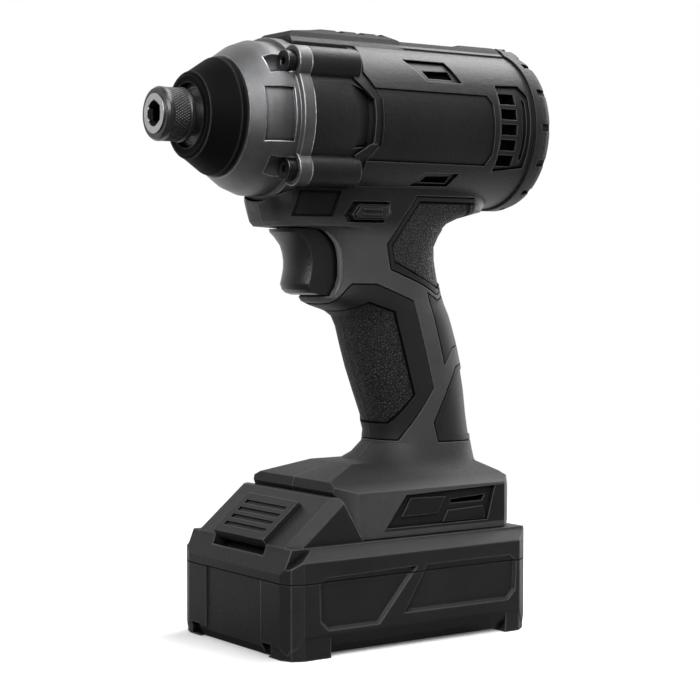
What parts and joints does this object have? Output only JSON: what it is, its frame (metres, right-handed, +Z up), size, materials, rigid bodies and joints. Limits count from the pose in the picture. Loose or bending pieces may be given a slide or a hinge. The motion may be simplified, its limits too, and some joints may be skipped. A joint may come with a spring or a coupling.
{
  "type": "cordless impact driver",
  "caption": "Pistol-grip cordless impact driver with a hex socket in a release sleeve, a trigger, a direction selector and a sliding battery with a latch.",
  "frame": {"origin": "middle of the battery's base on the floor", "axes": "+X forward along the drive axis to the bit, +Y to the tool's left, +Z up"},
  "size_m": [0.167, 0.08, 0.2376],
  "materials": {
    "housing_plastic": "satin",
    "cover_plastic": "satin",
    "case_metal": "cast satin",
    "bumper_rubber": "matte",
    "grip_rubber": "grained matte",
    "screw_steel": "black oxide",
    "control_plastic": "satin",
    "inner_plastic": "matte",
    "board": "satin",
    "contact_brass": "bright",
    "lamination_steel": "satin",
    "copper": "satin",
    "bright_steel": "ground",
    "plate_metal": "cast",
    "anvil_steel": "ground",
    "bush_bronze": "satin",
    "sleeve_steel": "black oxide",
    "battery_plastic": "satin",
    "cell_wrap": "gloss",
    "nickel": "satin"
  },
  "bodies": {
    "housing": {"left_housing": "housing_plastic", "right_housing": "housing_plastic", "rear_cover": "cover_plastic", "hammer_case": "case_metal", "nose_bumper": "bumper_rubber", "front_grip_left": "grip_rubber", "front_grip_right": "grip_rubber", "web_grip_left": "grip_rubber", "web_grip_right": "grip_rubber", "heel_grip_left": "grip_rubber", "heel_grip_right": "grip_rubber", "tail_grip_left": "grip_rubber", "tail_grip_right": "grip_rubber", "housing_screws": "screw_steel", "hammer_case_screws": "screw_steel", "rear_cover_screws": "screw_steel", "switch_body": "inner_plastic", "control_board": "board", "terminal_block": "inner_plastic", "tool_contacts": "contact_brass", "stator_core": "lamination_steel", "stator_windings": "copper", "rear_bearing": "bright_steel", "front_bearing": "bright_steel", "gearbox_plate": "plate_metal", "ring_gear": "bright_steel", "spindle_bearing": "bright_steel", "anvil_bush": "bush_bronze"},
    "trigger": {"trigger": "control_plastic"},
    "selector": {"selector": "control_plastic"},
    "rotor": {"rotor_core": "lamination_steel", "motor_shaft": "bright_steel", "cooling_fan": "inner_plastic", "pinion": "bright_steel"},
    "spindle": {"spindle": "bright_steel", "planet_pins": "bright_steel", "cam_balls": "bright_steel", "hammer_spring": "bright_steel"},
    "planet_1": {"planet_gear_1": "bright_steel"},
    "planet_2": {"planet_gear_2": "bright_steel"},
    "planet_3": {"planet_gear_3": "bright_steel"},
    "hammer": {"hammer": "bright_steel"},
    "anvil": {"anvil": "anvil_steel", "chuck_balls": "bright_steel", "sleeve_washer": "sleeve_steel", "retaining_ring": "sleeve_steel", "sleeve_spring": "bright_steel"},
    "release_sleeve": {"release_sleeve": "sleeve_steel"},
    "battery": {"battery_lower_case": "battery_plastic", "battery_upper_case": "battery_plastic", "battery_cells": "cell_wrap", "cell_holders": "inner_plastic", "cell_straps": "nickel", "battery_board": "board", "battery_clips": "contact_brass", "battery_screws": "screw_steel", "latch_spring": "bright_steel"},
    "latch": {"latch_button": "control_plastic"}
  },
  "joints": [
    {"name": "trigger_pull", "type": "slide", "parent": "housing", "child": "trigger", "axis": [-1, 0, 0], "range_m": [0, 0.006], "stiffness_N_per_m": 900, "springref_m": -0.004},
    {"name": "selector_shift", "type": "slide", "parent": "housing", "child": "selector", "axis": [0, 1, 0], "range_m": [-0.0025, 0.0025]},
    {"name": "spindle_spin", "type": "hinge", "parent": "housing", "child": "spindle", "pos_m": [0, 0, 0.202], "axis": [1, 0, 0], "continuous": true},
    {"name": "rotor_spin", "type": "hinge", "parent": "housing", "child": "rotor", "pos_m": [0, 0, 0.202], "axis": [1, 0, 0], "continuous": true},
    {"name": "planet_1_spin", "type": "hinge", "parent": "spindle", "child": "planet_1", "pos_m": [0, 0, 0.19075], "axis": [1, 0, 0], "continuous": true},
    {"name": "planet_2_spin", "type": "hinge", "parent": "spindle", "child": "planet_2", "pos_m": [0, 0.00974, 0.20763], "axis": [1, 0, 0], "continuous": true},
    {"name": "planet_3_spin", "type": "hinge", "parent": "spindle", "child": "planet_3", "pos_m": [0, -0.00974, 0.20763], "axis": [1, 0, 0], "continuous": true},
    {"name": "hammer_retreat", "type": "slide", "parent": "spindle", "child": "hammer", "axis": [-1, 0, 0], "range_m": [0, 0.006], "stiffness_N_per_m": 9000, "springref_m": -0.01, "deforming": ["hammer_spring"]},
    {"name": "anvil_spin", "type": "hinge", "parent": "housing", "child": "anvil", "pos_m": [0, 0, 0.202], "axis": [1, 0, 0], "continuous": true},
    {"name": "sleeve_pull", "type": "slide", "parent": "anvil", "child": "release_sleeve", "axis": [1, 0, 0], "range_m": [0, 0.003], "stiffness_N_per_m": 1500, "springref_m": -0.004, "deforming": ["sleeve_spring"]},
    {"name": "battery_slide", "type": "slide", "parent": "housing", "child": "battery", "axis": [1, 0, 0], "range_m": [0, 0.09]},
    {"name": "latch_press", "type": "slide", "parent": "battery", "child": "latch", "axis": [-0.6334, 0, -0.7738], "range_m": [0, 0.004], "stiffness_N_per_m": 1800, "springref_m": -0.004, "deforming": ["latch_spring"]}
  ],
  "couplings": [
    {"joint": "rotor_spin", "follows": "spindle_spin", "ratio": 5},
    {"joint": "planet_1_spin", "follows": "spindle_spin", "ratio": -2.6667},
    {"joint": "planet_2_spin", "follows": "spindle_spin", "ratio": -2.6667},
    {"joint": "planet_3_spin", "follows": "spindle_spin", "ratio": -2.6667},
    {"joint": "anvil_spin", "follows": "spindle_spin", "ratio": 1}
  ]
}
